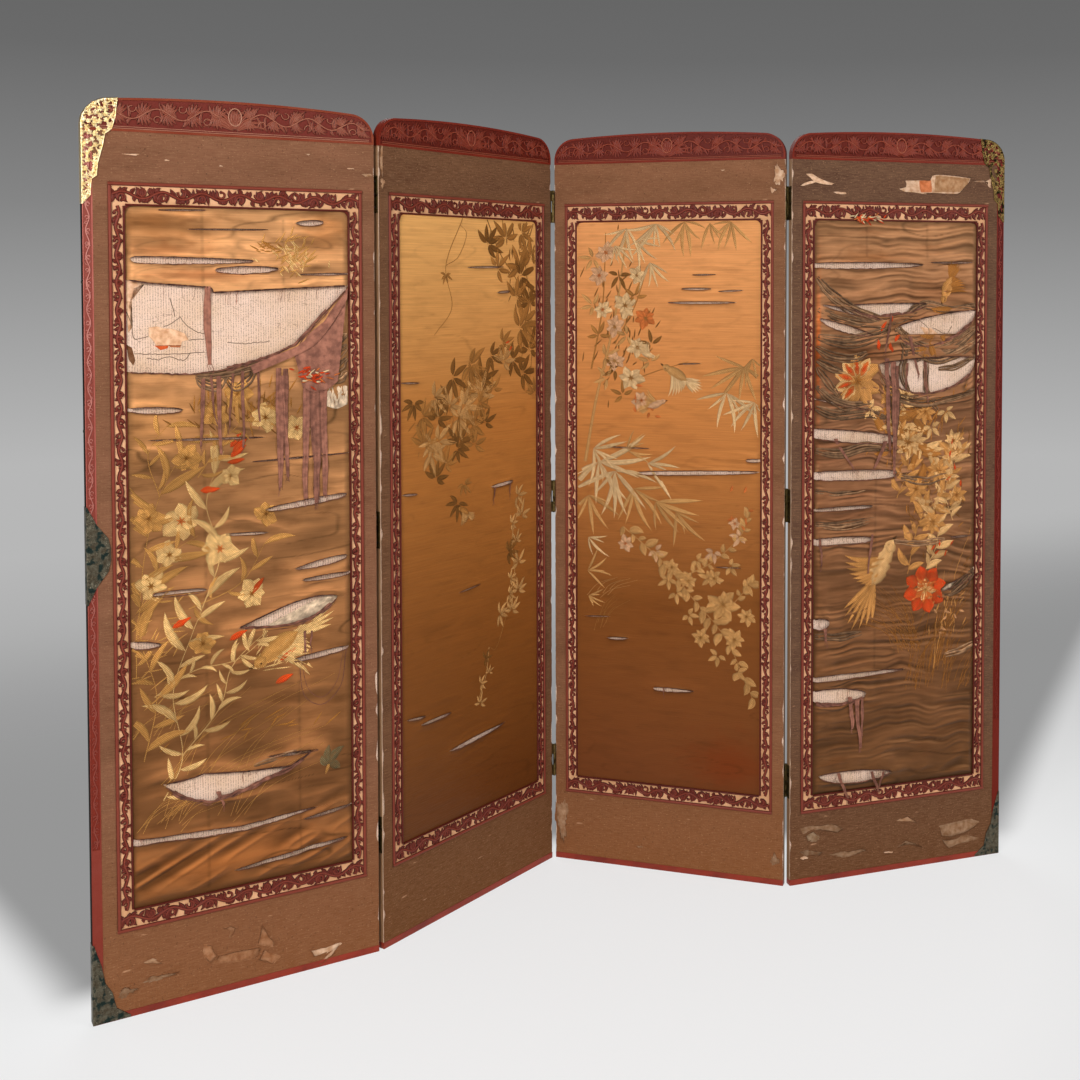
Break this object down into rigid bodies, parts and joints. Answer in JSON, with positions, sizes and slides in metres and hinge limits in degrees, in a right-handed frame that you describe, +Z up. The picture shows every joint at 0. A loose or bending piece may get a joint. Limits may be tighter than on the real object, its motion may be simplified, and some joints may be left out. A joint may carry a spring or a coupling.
{
  "type": "folding screen",
  "caption": "Standing folding room screen with hinged leaves, carved arched crest rails and pierced borders round embroidered silk panels.",
  "frame": {"origin": "on the floor, under the middle of the standing screen's plan", "axes": "+X from the free edge of leaf 1 to the free edge of leaf 4, -Y the side that the pictures face, +Z up"},
  "size_m": [2.0393, 0.4048, 1.73],
  "materials": {
    "softwood": "planed, bare",
    "back_paper": "dyed paper, matt",
    "lining_paper": "layered paper, pinkish tan, matt",
    "brown_cloth": "woven, worn",
    "silk_satin": "satin weave, soft sheen",
    "carved_fret": "purple-brown lacquer over carved wood",
    "dark_red_lacquer": "dark red lacquer, carved",
    "red_lacquer": "red lacquer",
    "gilt_brass": "gilt, pierced and chased",
    "dark_bronze": "dark patina, chased",
    "hinge_brass": "aged, dull",
    "hinge_steel": "drawn wire, dull"
  },
  "bodies": {
    "leaf_1": {"leaf_1_core_frame": "softwood", "leaf_1_core_lattice": "softwood", "leaf_1_back_panel": "back_paper", "leaf_1_paper_lining": "lining_paper", "leaf_1_mount_cloth": "brown_cloth", "leaf_1_silk_panel": "silk_satin", "leaf_1_fret_top": "carved_fret", "leaf_1_fret_bottom": "carved_fret", "leaf_1_fret_sides": "carved_fret", "leaf_1_crest_rail": "dark_red_lacquer", "leaf_1_foot_rail": "red_lacquer", "leaf_1_outer_stile": "red_lacquer", "leaf_1_top_corner_mount": "gilt_brass", "leaf_1_bottom_corner_mount": "dark_bronze", "leaf_1_middle_mount": "dark_bronze", "fold_1_2_left_plates": "hinge_brass"},
    "leaf_2": {"leaf_2_core_frame": "softwood", "leaf_2_core_lattice": "softwood", "leaf_2_back_panel": "back_paper", "leaf_2_paper_lining": "lining_paper", "leaf_2_mount_cloth": "brown_cloth", "leaf_2_silk_panel": "silk_satin", "leaf_2_fret_top": "carved_fret", "leaf_2_fret_bottom": "carved_fret", "leaf_2_fret_sides": "carved_fret", "leaf_2_crest_rail": "dark_red_lacquer", "leaf_2_foot_rail": "red_lacquer", "fold_1_2_right_plates": "hinge_brass", "fold_1_2_pins": "hinge_steel", "fold_2_3_left_plates": "hinge_brass", "fold_2_3_pins": "hinge_steel"},
    "leaf_3": {"leaf_3_core_frame": "softwood", "leaf_3_core_lattice": "softwood", "leaf_3_back_panel": "back_paper", "leaf_3_paper_lining": "lining_paper", "leaf_3_mount_cloth": "brown_cloth", "leaf_3_silk_panel": "silk_satin", "leaf_3_fret_top": "carved_fret", "leaf_3_fret_bottom": "carved_fret", "leaf_3_fret_sides": "carved_fret", "leaf_3_crest_rail": "dark_red_lacquer", "leaf_3_foot_rail": "red_lacquer", "fold_2_3_right_plates": "hinge_brass", "fold_3_4_left_plates": "hinge_brass", "fold_3_4_pins": "hinge_steel"},
    "leaf_4": {"leaf_4_core_frame": "softwood", "leaf_4_core_lattice": "softwood", "leaf_4_back_panel": "back_paper", "leaf_4_paper_lining": "lining_paper", "leaf_4_mount_cloth": "brown_cloth", "leaf_4_silk_panel": "silk_satin", "leaf_4_fret_top": "carved_fret", "leaf_4_fret_bottom": "carved_fret", "leaf_4_fret_sides": "carved_fret", "leaf_4_crest_rail": "dark_red_lacquer", "leaf_4_foot_rail": "red_lacquer", "leaf_4_outer_stile": "red_lacquer", "leaf_4_top_corner_mount": "gilt_brass", "leaf_4_bottom_corner_mount": "dark_bronze", "fold_3_4_right_plates": "hinge_brass"}
  },
  "joints": [
    {"name": "fold_1_2", "type": "hinge", "parent": "leaf_2", "child": "leaf_1", "pos_m": [-0.46932, -0.09637, 0.875], "axis": [0, 0, 1], "range_deg": [-156, 24]},
    {"name": "fold_2_3", "type": "hinge", "parent": "leaf_2", "child": "leaf_3", "pos_m": [0.01441, 0.18305, 0.875], "axis": [0, 0, 1], "range_deg": [-108, 72]},
    {"name": "fold_3_4", "type": "hinge", "parent": "leaf_3", "child": "leaf_4", "pos_m": [0.46343, -0.14931, 0.875], "axis": [0, 0, 1], "range_deg": [-36, 144]}
  ]
}
